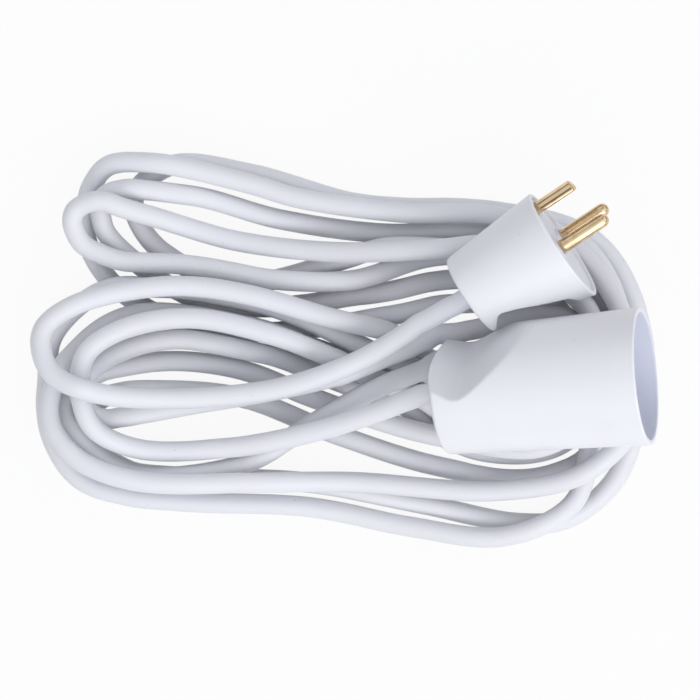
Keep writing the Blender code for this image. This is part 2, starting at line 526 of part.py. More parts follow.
def make_coupler():
    frame = fitting_frame("coupler_frame", COUPLER_AT, COUPLER_LIE)
    face = COUPLER_LENGTH - RECESS_DEEP
    base_front = face - FACE_THICK - FIT
    base_rear = base_front - COUPLER_BASE_DEEP
    lip = WALL / 2

    dome = [(COUPLER_REAR_R * s, -COUPLER_BULGE * (1 - s * s)) for s in (0.85, 0.65, 0.45, 0.25, 0)]
    cover = place(turned([(0, COUPLER_LENGTH)]
                         + arc((COUPLER_MOUTH_R - lip, COUPLER_LENGTH - lip), lip, 90, 0, 4)
                         + [(coupler_radius(EDGE), EDGE)]
                         + arc((COUPLER_REAR_R - EDGE, EDGE * 0.6), EDGE, 0, -60, 3) + dome, 56),
                  "coupler_cover", WHITE_PLASTIC, frame)
    lip_middle = COUPLER_MOUTH_R - WALL + lip
    hollow = place(turned([(0, COUPLER_LENGTH + OVER), (lip_middle, COUPLER_LENGTH + OVER),
                           (lip_middle, COUPLER_LENGTH - 0.05 * MM)]
                          + arc((lip_middle, COUPLER_LENGTH - lip), lip, 110, 180, 3)
                          + [(coupler_radius(WALL) - WALL, WALL), (COUPLER_REAR_R * 0.4, WALL - 3 * MM),
                             (0, WALL - 3.6 * MM)], 48),
                   "coupler_hollow", None, frame)
    cut(hollow, scoop_cutter("coupler_scoop_inner", COUPLER_SCOOP, WALL, centred, frame))
    cut(cover, scoop_cutter("coupler_scoop", COUPLER_SCOOP, 0, centred, frame), hollow,
        place(rod(CORD_D + 2 * FIT, -8 * MM, 4 * MM, sides=24), "coupler_cord_hole", None, frame))

    def inner(z):
        return coupler_radius(z) - WALL - FIT

    plate = place(turned([(0, face), (inner(face) - 0.4 * MM, face), (inner(face), face - 0.4 * MM),
                          (inner(face - FACE_THICK), face - FACE_THICK), (0, face - FACE_THICK)], 48),
                  "coupler_face", WHITE_PLASTIC, frame)
    base = place(turned([(0, base_front), (inner(base_front), base_front), (inner(base_rear), base_rear),
                         (0, base_rear)], 48), "coupler_base", PALE_PLASTIC, frame)
    tongue_high = -CORD_D / 2 - FIT
    tongue_low = tongue_high - 1.9 * MM
    grip_z = 5 * MM
    add_tongue(base, "coupler", frame, tongue_low, tongue_high, grip_z, base_rear)
    cut(base, scoop_cutter("coupler_scoop_base", COUPLER_SCOOP, WALL + FIT, centred, frame))
    cut(base, *cord_grip("coupler", frame, grip_z, 0, tongue_low))

    # Contacts: a slit sleeve for each round pin, two leaves for the earth pin
    spots = [(-PIN_PITCH / 2, 0), (PIN_PITCH / 2, 0), (0, EARTH_TERMINAL_Y)]
    terminal_low = base_rear - TERMINAL_LONG
    holes = terminal_screws("coupler", frame, spots, terminal_low + TERMINAL_LONG / 2)
    pocket_floor = base_front - SHUTTER_THICK - 2 * FIT
    sleeve_top = pocket_floor - FIT
    sleeve_low = sleeve_top - CONTACT_DEEP
    for name, (x, y), hole in zip(("line", "neutral"), spots, holes):
        r = CONTACT_D / 2
        bore = PIN_D / 2 + 0.05 * MM
        shape = turned([(0, sleeve_low + 1 * MM), (bore, sleeve_low + 1.6 * MM),
                        (bore, sleeve_top - 0.6 * MM), (bore + 0.5 * MM, sleeve_top),
                        (r, sleeve_top), (r, sleeve_low),
                        (TERMINAL_D / 2, sleeve_low - 0.4 * MM), (TERMINAL_D / 2, terminal_low),
                        (0, terminal_low)], 24, Matrix.Translation((x, y, 0)))
        contact = place(shape, name + "_contact", BRASS, frame)
        slit = block((x - SLIT / 2, -r - OVER, sleeve_low + 3 * MM),
                     (x + SLIT / 2, r + OVER, sleeve_top + OVER))
        cut(contact, hole, place(slit, name + "_slit", None, frame))
        chamber = rod(CONTACT_D + 2 * FIT, base_rear - OVER, base_front + OVER, x, y, 24)
        cut(base, place(chamber, name + "_chamber", None, frame))
        opening = rod(HOLE_D, base_front - OVER, face + OVER, x, y, 28)
        cut(plate, place(opening, name + "_hole", None, frame))
    low_y = EARTH_Y - EARTH_THICK / 2 - LEAF - 0.1 * MM
    high_y = EARTH_Y + EARTH_THICK / 2 + 0.1 * MM
    leaf_top = base_front - 3 * MM
    foot = base_rear + 2 * MM
    foot_top = foot + 1.2 * MM
    foot_y = EARTH_TERMINAL_Y - 1 * MM
    half = 2.6 * MM
    earth = block((-half, foot_y, foot), (half, high_y + LEAF, foot_top))
    earth = place(earth, "earth_contact", BRASS, frame)
    inner_leaf = block((-half, low_y, foot_top - LEAF), (half, low_y + LEAF, leaf_top))
    outer_leaf = block((-half, high_y, foot_top - LEAF), (half, high_y + LEAF, leaf_top))
    terminal = rod(EARTH_TERMINAL_D, terminal_low, foot_top - LEAF, 0, EARTH_TERMINAL_Y, 24)
    join(earth, place(inner_leaf, "earth_leaf_inner", None, frame),
         place(outer_leaf, "earth_leaf_outer", None, frame),
         place(terminal, "earth_contact_terminal", None, frame))
    cut(earth, holes[2])
    room = half + 3 * FIT
    chamber = block((-room, low_y - FIT, foot - FIT), (room, high_y + LEAF + FIT, base_front + OVER))
    foot_slot = block((-half - FIT, foot_y - FIT, base_rear - OVER),
                      (half + FIT, high_y + LEAF + FIT, foot_top + FIT))
    terminal_slot = rod(EARTH_TERMINAL_D + 2 * FIT, base_rear - OVER, foot_top + FIT,
                        0, EARTH_TERMINAL_Y, 24)
    cut(base, place(chamber, "earth_chamber", None, frame), place(foot_slot, "earth_foot_slot", None, frame),
        place(terminal_slot, "earth_contact_slot", None, frame))
    slot = prism(half_round(0.45 * MM), 4 * MM, Matrix.Translation((0, 0, face - 2 * MM)))
    cut(plate, place(slot, "earth_opening", None, frame))

    # The shutter closes both round holes and slides off them against its spring
    shutter_front = 3.4 * MM
    shutter_back = -4.4 * MM
    low = pocket_floor + FIT
    wide = SHUTTER_WIDE / 2
    ramp = [(shutter_back, low), (shutter_front, low), (shutter_front, low + 0.7 * MM),
            (shutter_front - 3.6 * MM, low + SHUTTER_THICK), (shutter_back, low + SHUTTER_THICK)]
    place(prism(ramp, wide, UP_AND_ALONG), "shutter", PALE_PLASTIC, frame)
    spring_seat = shutter_back - SHUTTER_TRAVEL - SPRING_SQUEEZED
    pocket = block((-wide - FIT, shutter_back - SHUTTER_TRAVEL - FIT, pocket_floor),
                   (wide + FIT, shutter_front + FIT, base_front + OVER))
    spring_pocket = block((-SPRING_D / 2 - FIT, spring_seat - FIT, base_front - SPRING_D - 2 * FIT),
                          (SPRING_D / 2 + FIT, shutter_back, base_front + OVER))
    cut(base, place(pocket, "shutter_pocket", None, frame),
        place(spring_pocket, "spring_pocket", None, frame))
    spring_r = (SPRING_D - SPRING_WIRE) / 2
    spring_z = base_front - SPRING_D / 2 - FIT
    count = SPRING_TURNS * 9
    start_y = spring_seat + SPRING_WIRE / 2
    rise = (shutter_back - FIT - SPRING_WIRE / 2 - start_y) / count
    coil = [(spring_r * cos(tau * k / 9), start_y + rise * k, spring_z + spring_r * sin(tau * k / 9))
            for k in range(count + 1)]
    place(tube(coil, SPRING_WIRE, 1), "shutter_spring", STEEL, frame)

    tail_end = grip_z + GRIP_LONG + 1 * MM
    place(rod(CORD_D, -COUPLER_BULGE, tail_end, sides=24), "coupler_sheath_end", WHITE_PVC, frame)
    cores("coupler", frame, tail_end + FIT, terminal_low - FIT, 0, spots)
    return frame


# ---------------------------------------------------------------- cord

def smooth_curve(points, steps=16):
    """A centripetal Catmull-Rom curve through points, spaced by their plan."""
    points = np.asarray(points, float)
    padded = np.vstack([2 * points[0] - points[1], points, 2 * points[-1] - points[-2]])
    pieces = []
    for four in zip(padded, padded[1:], padded[2:], padded[3:]):
        gaps = [np.linalg.norm((b - a)[:2]) ** 0.5 for a, b in zip(four, four[1:])]
        knots = np.cumsum([0, *gaps])
        t = np.linspace(knots[1], knots[2], steps, endpoint=False)[:, None]

        def mix(a, b, i, j):
            return ((knots[j] - t) * a + (t - knots[i]) * b) / (knots[j] - knots[i])

        first, middle, last = (mix(four[k], four[k + 1], k, k + 1) for k in range(3))
        pieces.append(mix(mix(first, middle, 0, 2), mix(middle, last, 1, 3), 1, 2))
    return np.vstack(pieces + [points[-1:]])


def even_points(curve, step):
    travelled = np.concatenate(([0], np.cumsum(np.linalg.norm(np.diff(curve[:, :2], axis=0), axis=1))))
    marks = np.linspace(0, travelled[-1], int(round(travelled[-1] / step)) + 1)
    return np.stack([np.interp(marks, travelled, column) for column in curve.T], 1), marks


def share_out(points, first, second, push):
    """Moves both points of each pair apart, averaged where a point is in several."""
    total = np.zeros_like(points)
    count = np.zeros(len(points))
    np.add.at(total, first, push)
    np.add.at(total, second, -push)
    np.add.at(count, first, 1)
    np.add.at(count, second, 1)
    return total / np.maximum(count, 1)[:, None]


def lay_cord(plug_frame, coupler_frame, rounds=460, step=CORD_SAMPLE):
    """Settles the route into a pile. Each strand starts high, in the order of its
    layer, and sinks until it rests on the floor or on the strands below. The two
    fittings come down on the pile with it, and each end stays straight out of its
    fitting."""
    spread = CORD_D + LAY_GAP
    floor = CORD_D * (0.5 - CORD_FLAT)
    route = np.array([(x * MM - ORIGIN.x, y * MM - ORIGIN.y, layer) for x, y, layer in ROUTE])
    fittings = []
    for frame, bulge, length, rear_r, front_r, shifts in (
            (plug_frame, PLUG_BULGE, PLUG_LENGTH, PLUG_REAR_R, PLUG_FRONT_R,
             (PLUG_REAR_SHIFT, PLUG_FRONT_SHIFT)),
            (coupler_frame, COUPLER_BULGE, COUPLER_LENGTH, COUPLER_REAR_R, COUPLER_MOUTH_R, (0, 0))):
        rear, front = (np.array(frame.matrix_world @ Vector((0, shift, z)))
                       for shift, z in zip(shifts, (0, length)))
        along = (front - rear) / np.linalg.norm(front - rear)
        fittings.append((rear, along, np.array(frame.matrix_world)[:3, 2], bulge, length, rear_r, front_r))
    exits = [rear - way * (bulge + FIT) for rear, _, way, bulge, *_ in fittings]
    route[0, :2] = exits[0][:2]
    route[-1, :2] = exits[1][:2]
    plan, marks = even_points(smooth_curve(route), step)
    count = len(plan)
    points = plan.copy()
    points[:, 2] = floor + (plan[:, 2] - plan[:, 2].min()) * CORD_LAYER
    aim = plan[:, :2].copy()

    straight = 2
    held = np.concatenate((np.arange(straight), count - 1 - np.arange(straight)))
    backwards = step * np.arange(straight)[:, None]
    held_at = np.vstack([exits[end] - fittings[end][2] * backwards for end in (0, 1)])
    points[held] = held_at
    aim[held] = held_at[:, :2]
    apart = np.triu(np.abs(marks[:, None] - marks[None]) > 2.6 * CORD_D)
    reach = 3
    chord = 2 * LEAST_BEND * sin(reach * step / LEAST_BEND)
    lift = CORD_LAYER * 9.5
    keep, sink, stiff = 0.10, 0.75 * MM, 0.1

    for turn in range(rounds):
        above = np.array((0, 0, lift * max(0.0, 1 - turn / (rounds * 0.65))))
        if turn % 15 == 0:
            near = np.square(points[:, None] - points[None]).sum(-1) < (spread + 7 * MM) ** 2
            first, second = np.where(near & apart)
        points[:, 2] -= sink * max(0.0, 1 - turn / (rounds * 0.85))
        points[:, :2] += keep * (aim - points[:, :2])
        shape = points.copy()
        shape[:, :2] -= aim
        for _ in range(5):
            ends = np.pad(shape, ((2, 2), (0, 0)), mode="edge")
            bend = ends[:-4] - 4 * ends[1:-3] + 6 * ends[2:-2] - 4 * ends[3:-1] + ends[4:]
            slack = ends[1:-3] + ends[3:-1] - 2 * ends[2:-2]
            shape = shape - stiff * bend + np.array((0.1, 0.1, 0.08)) * slack
        points = shape
        points[:, :2] += aim
        for _ in range(4):
            between = points[first] - points[second]
            distance = np.linalg.norm(between, axis=1) + 1e-9
            hit = distance < spread
            push = ((spread - distance[hit]) / distance[hit] * 0.5)[:, None] * between[hit]
            points += share_out(points, first[hit], second[hit], push) * 1.4
            across = points[2 * reach:] - points[:-2 * reach]
            distance = np.linalg.norm(across, axis=1) + 1e-9
            tight = np.where(distance < chord)[0]
            push = ((chord - distance[tight]) / distance[tight] * 0.25)[:, None] * across[tight]
            points += share_out(points, tight + 2 * reach, tight, push)
            for end, (rear, along, _, bulge, length, rear_r, front_r) in enumerate(fittings):
                offset = points - rear - above
                down = offset @ along
                radial = offset - down[:, None] * along
                size = np.linalg.norm(radial, axis=1) + 1e-9
                margin = CORD_D / 2 + LAY_GAP / 2
                need = rear_r + (front_r - rear_r) * np.clip(down / length, 0, 1) + margin
                inside = (down > -bulge - margin) & (down < length + margin) & (size < need)
                own = slice(0, 8) if end == 0 else slice(count - 8, count)
                inside[own] = False
                out = need - size
                behind = inside & (down < 0) & (down + bulge + margin < out)
                ahead = inside & (down > length) & (length + margin - down < out)
                beside = inside & ~behind & ~ahead
                points[behind] -= along * (down[behind] + bulge + margin)[:, None]
                points[ahead] += along * (length + margin - down[ahead])[:, None]
                points[beside] += radial[beside] / size[beside][:, None] * out[beside][:, None]
            points[:, 2] = np.maximum(points[:, 2], floor)
            points[held] = held_at + above
    return points


def thin_out(points, allowed, longest=12):
    """Keeps the points that a tube of straight pieces needs to stay near the line."""
    keep = np.zeros(len(points), bool)
    keep[[0, 1, 2, -3, -2, -1]] = True
    stack = [(2, len(points) - 3)]
    while stack:
        start, stop = stack.pop()
        if stop - start < 2:
            continue
        run = points[stop] - points[start]
        offset = points[start + 1:stop] - points[start]
        along = np.clip(offset @ run / (run @ run), 0, 1)
        away = np.linalg.norm(offset - along[:, None] * run, axis=1)
        worst = away.argmax() + start + 1
        if away.max() > allowed or stop - start > longest:
            split = worst if away.max() > allowed else (start + stop) // 2
            keep[split] = True
            stack += [(start, split), (split, stop)]
    return points[keep]


def least_gap(points, diameter):
    """The narrowest space between two strands of the tube, straight piece to straight piece."""
    begin, end = points[:-1], points[1:]
    travelled = np.concatenate(([0], np.cumsum(np.linalg.norm(end - begin, axis=1))))
    middle = (begin + end) / 2
    size = np.linalg.norm(end - begin, axis=1)
    at = (travelled[:-1] + travelled[1:]) / 2
    reach = (size[:, None] + size[None]) / 2
    near = np.linalg.norm(middle[:, None] - middle[None], axis=-1) < 3 * diameter + reach
    first, second = np.where(np.triu(near & (np.abs(at[:, None] - at[None]) > 2.6 * diameter + reach)))
    u, v, w = end[first] - begin[first], end[second] - begin[second], begin[first] - begin[second]
    a, b, c = (u * u).sum(1), (u * v).sum(1), (v * v).sum(1)
    d, e = (u * w).sum(1), (v * w).sum(1)
    s = np.clip((b * e - c * d) / np.maximum(a * c - b * b, 1e-15), 0, 1)
    t = np.clip((b * s + e) / c, 0, 1)
    s = np.clip((b * t - d) / a, 0, 1)
    return np.linalg.norm(w + u * s[:, None] - v * t[:, None], axis=1).min() - diameter


def make_cord(plug_frame, coupler_frame):
    settled = lay_cord(plug_frame, coupler_frame)
    points = thin_out(settled, CORD_FIT)
    length = np.linalg.norm(np.diff(settled, axis=0), axis=1).sum()
    print(f"cord: {length:.3f} m laid, {len(points)} points")
    print(f"cord: least gap to itself {least_gap(points, CORD_D) / MM:.2f} mm")
    cord = place(tube(points, CORD_D, 1), "cord", WHITE_PVC)
    cut(cord, place(block((-0.3, -0.3, -0.02), (0.3, 0.3, 0)), "floor_cutter"))


plug = make_plug()
coupler = make_coupler()
bpy.context.view_layer.update()
make_cord(plug, coupler)
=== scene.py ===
"""Earthed extension cord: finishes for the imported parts, and finer meshes in place of
the cord, the two moulded housings, the folded earth pin and the shutter's spring.
Metres, +Z up, in the parts' own frame."""
import json
from math import cos, radians, sin, tau
import bpy
import bmesh
import numpy as np
from mathutils import Matrix, Vector


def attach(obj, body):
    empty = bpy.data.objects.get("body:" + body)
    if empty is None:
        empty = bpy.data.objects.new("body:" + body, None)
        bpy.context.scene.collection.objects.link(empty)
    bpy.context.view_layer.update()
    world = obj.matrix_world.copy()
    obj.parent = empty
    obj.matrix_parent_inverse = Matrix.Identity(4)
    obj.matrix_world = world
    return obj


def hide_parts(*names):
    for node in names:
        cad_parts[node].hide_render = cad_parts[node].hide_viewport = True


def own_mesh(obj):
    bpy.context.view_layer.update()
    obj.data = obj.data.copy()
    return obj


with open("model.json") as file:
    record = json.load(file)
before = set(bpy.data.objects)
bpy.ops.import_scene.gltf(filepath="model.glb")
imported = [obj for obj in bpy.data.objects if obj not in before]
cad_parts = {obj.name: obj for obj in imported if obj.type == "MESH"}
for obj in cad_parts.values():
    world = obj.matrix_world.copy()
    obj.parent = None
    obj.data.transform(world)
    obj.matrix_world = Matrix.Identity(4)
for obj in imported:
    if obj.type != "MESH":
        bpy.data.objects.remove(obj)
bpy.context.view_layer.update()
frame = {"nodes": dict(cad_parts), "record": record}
MM = 0.001

# The parts' own values, as in their source. A scoop's points are the distance along
# its housing and the height of the scoop's floor over the middle line, in millimetres.
FIT = 0.3 * MM
WALL = 1.8 * MM
EDGE = 1.0 * MM
CORD_D = 7.2 * MM
LAY_GAP = 1.5 * MM
LEAST_BEND = 10 * MM
CORD_SAMPLE = 3.5 * MM
CORD_LAYER = 10 * MM
CORD_FLAT = 0.1
ORIGIN = Vector((-1.6, 0.0, 0)) * MM
PLUG_AT = Vector((42.0, 17.0, 37.2)) * MM
PLUG_LIE = (radians(33.5), radians(12), radians(8))
COUPLER_AT = Vector((32.2, -14.4, 37.6)) * MM
COUPLER_LIE = (radians(4.95), radians(15.8), radians(209))
PLUG_LENGTH = 36 * MM
PLUG_REAR_R = 14.65 * MM
PLUG_FRONT_R = 20.3 * MM
PLUG_REAR_SHIFT = 2.0 * MM
PLUG_FRONT_SHIFT = -0.9 * MM
PLUG_BULGE = 1.5 * MM
PLUG_RIM = 1.6 * MM
PLUG_FACE_DEPTH = 1.0 * MM
PLUG_SCOOP = [(-4, 14.6), (1.2, 14.2), (3.6, 11.4), (5.4, 9.7), (7.2, 9.3), (12.3, 10.6),
              (21.4, 14.1), (28.0, 16.6), (29.3, 18.4), (30.4, 20.3), (32.5, 22.6), (38, 30)]
# The plug's scoop as it shows: 1 mm deeper, with a crisper lip; its inner skin stays
PLUG_SCOOP_SEEN = [(-4, 14.6), (1.2, 14.2), (3.6, 11.0), (5.4, 9.0), (7.2, 8.4), (12.3, 9.7),
                   (21.4, 13.1), (28.3, 15.4), (29.4, 17.0), (30.2, 20.0), (31.5, 23.0), (38, 36)]
EARTH_Y = 14.4 * MM
EARTH_WIDE = 6.6 * MM
EARTH_THICK = 3.8 * MM
EARTH_WALL = 0.9 * MM
EARTH_REACH = 15 * MM
EARTH_TERMINAL_D = 5.6 * MM
EARTH_TERMINAL_Y = 9 * MM
PLUG_WIRING = 24 * MM
PLUG_BASE_DEEP = PLUG_LENGTH - PLUG_FACE_DEPTH - PLUG_WIRING
TERMINAL_LONG = 8.5 * MM
COUPLER_LENGTH = 69 * MM
COUPLER_REAR_R = 21.0 * MM
COUPLER_MOUTH_R = 23.0 * MM
COUPLER_BULGE = 4.0 * MM
RECESS_DEEP = 20 * MM
FACE_THICK = 2.7 * MM
SHUTTER_BACK = -4.4 * MM
SHUTTER_TRAVEL = 6.2 * MM
SPRING_D = 3.6 * MM
SPRING_WIRE = 0.5 * MM
SPRING_TURNS = 6
SPRING_SQUEEZED = 6.4 * MM
COUPLER_SCOOP = [(-8, 12.6), (-3, 11.6), (0, 11.1), (3, 9.7), (5, 8.6), (7, 8.0), (9, 8.1),
                 (11.5, 9.2), (14, 10.7), (23, 16.6), (28, 19.7), (31, 21.2), (34, 22.2),
                 (40, 30)]

# Both housings' cord hole, its rounded edge, and where the domed rear starts beyond it
HOLE_R = CORD_D / 2 + FIT
HOLE_EDGE = 0.4 * MM
HOLE_RIM = 0.9 * MM

# The picture and the camera over it
PICTURE = 700
FOCAL_IN_PICTURE = 2692
SENSOR = 36
CAMERA_HEIGHT = 0.95

# The cord's route from plug to coupler, millimetres from the middle of the
# picture, with the layer that each point lies in (1 is the floor).
ROUTE = [
    # down to the bend behind the plug, back over the pile and under the coupler
    (39, 17, 12), (-2, -6, 12), (-35, -15, 12), (-86, -15, 12), (-103, -7, 12), (-106, 6, 12),
    (-96, 15, 11), (-64, 22, 11), (-35, 19, 10), (-2, 8, 10), (28, -6, 6), (58, -20, 4),
    (75, -19, 4), (84, -6, 4), (74, 7, 4),
    # loop 2
    (44, -2, 5), (28, -8, 7), (14, -11, 9), (-12, -25, 9), (-38, -40, 7), (-73, -44, 5),
    (-85, -39, 5), (-97, -23, 5), (-96, -16, 5), (-72, -5, 5), (-42, -6, 5), (2, -22, 5),
    (31, -30, 5), (66, -33, 6), (84, -17, 6), (83, 11, 6), (64, 31, 5),
    # loop 3
    (31, 35, 5), (-4, 30, 5), (-35, 23, 5), (-51, 24, 5), (-71, 39, 5), (-76, 54, 5),
    (-63, 65, 5), (-35, 62, 6), (0, 52, 6), (18, 50, 6), (53, 48, 6), (85, 39, 6),
    (99, 18, 4), (100, -14, 2), (94, -44, 1), (77, -59, 1),
    # loop 4
    (60, -61, 1), (25, -54, 3), (-14, -47, 3), (-60, -45, 3), (-77, -43, 4), (-94, -29, 4),
    (-94, -21, 4), (-88, -15, 4), (-65, -14, 4), (-37, -17, 4), (-4, -30, 4), (32, -41, 4),
    (67, -44, 4), (90, -28, 4), (92, 4, 4), (78, 27, 6), (49, 36, 8),
    # loop 5
    (31, 35, 9), (-3, 34, 9), (-39, 38, 9), (-72, 47, 9), (-92, 50, 10), (-96, 47, 10),
    (-94, 41, 10), (-80, 31, 9), (-52, 26, 8), (-18, 24, 6), (-2, 25, 6), (35, 33, 6),
    (66, 28, 5), (83, 7, 3), (85, -22, 3), (76, -34, 3), (48, -36, 4),
    # loop 6
    (21, -20, 4), (-14, -7, 6), (-30, -1, 6), (-60, 4, 6), (-82, -2, 6), (-95, -14, 6),
    (-94, -20, 6), (-88, -23, 6), (-49, -18, 8), (-17, -12, 10), (14, -3, 10), (61, 9, 5),
    (84, 4, 5), (91, -10, 5), (81, -24, 5), (58, -23, 5),
    # loop 7
    (28, -8, 6), (-3, 5, 8), (-33, 16, 8), (-63, 23, 8), (-86, 21, 6), (-104, 5, 3),
    (-106, -11, 2), (-105, -30, 1), (-94, -46, 2), (-63, -52, 3), (-14, -55, 3), (21, -62, 3),
    (54, -65, 3), (78, -53, 4), (84, -30, 5), (93, -2, 5), (92, 15, 6), (76, 38, 7),
    # loop 8
    (46, 41, 9), (11, 41, 9), (-25, 46, 9), (-56, 54, 9), (-87, 53, 8), (-86, 42, 4),
    (-62, 23, 3), (-28, 15, 3), (4, 20, 5), (35, 27, 5), (53, 28, 4), (76, 16, 2),
    (86, -4, 2), (74, -22, 2),
    # loop 9
    (18, -10, 5), (-33, 9, 6), (-66, 14, 8), (-86, 8, 9), (-102, -11, 10), (-104, -24, 11),
    (-95, -37, 10), (-75, -45, 8), (-38, -46, 6), (0, -46, 5), (52, -49, 6), (82, -42, 6),
    (99, -23, 5), (95, 9, 6), (80, 32, 8), (52, 46, 10),
    # loop 10, and up into the coupler
    (17, 48, 11), (-18, 53, 11), (-35, 58, 11), (-68, 65, 11), (-85, 64, 10), (-91, 53, 7),
    (-91, 36, 5), (-81, 21, 3), (-55, 8, 2), (-19, 6, 2), (18, 14, 4), (35, 17, 4),
    (62, 14, 2), (77, 0, 1), (70, -17, 1), (40, -20, 3), (23, -14, 5), (-10, -1, 7),
    (-26, 5, 8), (-55, 11, 8), (-79, 7, 9), (-92, -3, 9), (-90, -25, 10), (-75, -34, 10),
    (-40, -34, 10), (-8, -27, 11), (10, -21, 11), (20, -17, 11), (28, -15, 11),
]


# ---------------------------------------------------------------- finishes

class Value:
    """A node's output. Arithmetic on it adds Math nodes."""

    def __init__(self, tree, socket):
        self.tree = tree
        self.socket = socket

    def calculated(self, operation, first, second):
        node = self.tree.nodes.new("ShaderNodeMath")
        node.operation = operation
        for socket, value in zip(node.inputs, (first, second)):
            if isinstance(value, Value):
                self.tree.links.new(value.socket, socket)
            else:
                socket.default_value = value
        return Value(self.tree, node.outputs[0])

    def __add__(self, other):
        return self.calculated("ADD", self, other)

    def __radd__(self, other):
        return self.calculated("ADD", other, self)

    def __sub__(self, other):
        return self.calculated("SUBTRACT", self, other)

    def __rsub__(self, other):
        return self.calculated("SUBTRACT", other, self)

    def __mul__(self, other):
        return self.calculated("MULTIPLY", self, other)

    def __rmul__(self, other):
        return self.calculated("MULTIPLY", other, self)


class Nodes:
    """Builds nodes in one tree."""

    def __init__(self, tree):
        self.tree = tree

    def node(self, kind, settings=None, sockets=None, output=0):
        """One output of a new node, whose sockets take values or other outputs."""
        node = self.tree.nodes.new(kind)
        for name, value in (settings or {}).items():
            setattr(node, name, value)
        for name, value in (sockets or {}).items():
            if isinstance(value, Value):
                self.tree.links.new(value.socket, node.inputs[name])
            elif isinstance(value, tuple) and len(value) != len(node.inputs[name].default_value):
                node.inputs[name].default_value = (*value, 1)
            else:
                node.inputs[name].default_value = value
        return Value(self.tree, node.outputs[output])

    def ramp(self, value, low, high, start=0.0, stop=1.0):
        """value's range low to high, spread smoothly from start to stop."""
        return self.node("ShaderNodeMapRange", {"interpolation_type": "SMOOTHSTEP"},
                         {"Value": value, "From Min": low, "From Max": high,
                          "To Min": start, "To Max": stop})


class Finish(Nodes):
    """A material that is built up from nodes round one Principled shader."""

    def __init__(self, name, **fixed):
        self.material = bpy.data.materials.new(name)
        self.material.use_nodes = True
        super().__init__(self.material.node_tree)
        self.shader = self.tree.nodes["Principled BSDF"]
        for socket, value in fixed.items():
            self.set(socket.replace("_", " "), value)

    def set(self, socket, value):
        if isinstance(value, Value):
            self.tree.links.new(value.socket, self.shader.inputs[socket])
        elif isinstance(value, tuple):
            self.shader.inputs[socket].default_value = (*value, 1)
        else:
            self.shader.inputs[socket].default_value = value

    def place(self, stretch=(1, 1, 1)):
        """Positions in metres, squeezed along an axis to stretch a pattern there."""
        where = self.node("ShaderNodeTexCoord", output=3)
        return self.node("ShaderNodeMapping", None, {"Vector": where, "Scale": stretch})

    def noise(self, size, detail=2.0, where=None):
        """Noise from 0 to 1 with features about that size, in metres."""
        return self.node("ShaderNodeTexNoise", None,
                         {"Vector": where or self.place(), "Scale": 1 / size, "Detail": detail})

    def mixed(self, share, first, second):
        """A colour between two colours."""
        return self.node("ShaderNodeMix", {"data_type": "RGBA"},
                         {0: share, 6: first, 7: second}, output=2)

    def patchy(self, size, detail, colour, second, low=0.35, high=0.7, where=None):
        """A colour that turns to the second one in soft patches about that size."""
        patches = self.ramp(self.noise(size, detail, where), low, high)
        return self.mixed(patches, colour, second)

    def speckled(self, clean, speck, size, rare):
        """The clean colour with a few small dark specks of dust."""
        fade, cover = 0.035, 0.55
        spots = self.noise(size, 0.0)
        return self.mixed(self.ramp(spots, rare, rare + fade, 0.0, cover), clean, speck)

    def rough(self, size, detail, low, high):
        """Roughness that wanders from low to high in patches about that size."""
        self.set("Roughness", self.ramp(self.noise(size, detail), 0.3, 0.7, low, high))

    def bumps(self, height, depth, strength):
        """Relief of that depth, in metres, on the shader's normal."""
        self.set("Normal", self.node("ShaderNodeBump", None,
                                     {"Height": height, "Distance": depth,
                                      "Strength": strength}))


PLASTIC_IOR = 1.5


def cord_pvc():
    """Soft white PVC sheath: satin, a little uneven from handling."""
    clean, handled, dust = (0.772, 0.776, 0.818), (0.760, 0.760, 0.788), (0.26, 0.24, 0.22)
    finish = Finish("cord_pvc", IOR=PLASTIC_IOR)
    tint = finish.patchy(26 * MM, 3.0, clean, handled)
    finish.set("Base Color", finish.speckled(tint, dust, 0.9 * MM, 0.88))
    finish.rough(5 * MM, 4.0, 0.42, 0.56)
    ripple = finish.noise(7 * MM, 2.0)
    grain = finish.noise(0.35 * MM, 2.0)
    finish.bumps(ripple * 0.85 + grain * 0.15, 0.12 * MM, 0.35)
    return finish.material


def moulded_plastic(name, colour, flow_colour, roughness, grain_size=0.30 * MM):
    """Moulded thermoplastic: fine spark-eroded grain, faint flow marks, a few specks."""
    dust = (0.25, 0.22, 0.20)
    finish = Finish(name, IOR=PLASTIC_IOR)
    tint = finish.patchy(18 * MM, 2.0, colour, flow_colour, where=finish.place((1, 1, 0.4)))
    finish.set("Base Color", finish.speckled(tint, dust, 0.7 * MM, 0.89))
    finish.rough(3 * MM, 3.0, roughness - 0.04, roughness + 0.05)
    grain = finish.noise(grain_size, 2.0)
    sink = finish.noise(12 * MM, 1.0)
    finish.bumps(grain * 0.2 + sink * 0.8, 0.10 * MM, 0.3)
    return finish.material


def brass(name):
    """Polished brass: bright, with a slightly darker film in places and faint tool marks."""
    bright, film = (0.76, 0.58, 0.36), (0.62, 0.45, 0.26)
    finish = Finish(name, Metallic=1.0)
    finish.set("Base Color", finish.patchy(3 * MM, 3.0, bright, film, 0.4, 0.75))
    finish.rough(1.2 * MM, 2.0, 0.08, 0.15)
    finish.bumps(finish.noise(0.6 * MM, 1.0), 0.01 * MM, 0.12)
    return finish.material


def zinc_steel():
    """Zinc-plated steel of the screws and the spring."""
    pale, dark = (0.62, 0.62, 0.60), (0.48, 0.49, 0.50)
    finish = Finish("zinc_steel", Metallic=1.0)
    finish.set("Base Color", finish.mixed(finish.noise(1.5 * MM, 3.0), pale, dark))
    finish.rough(0.6 * MM, 3.0, 0.28, 0.42)
    return finish.material


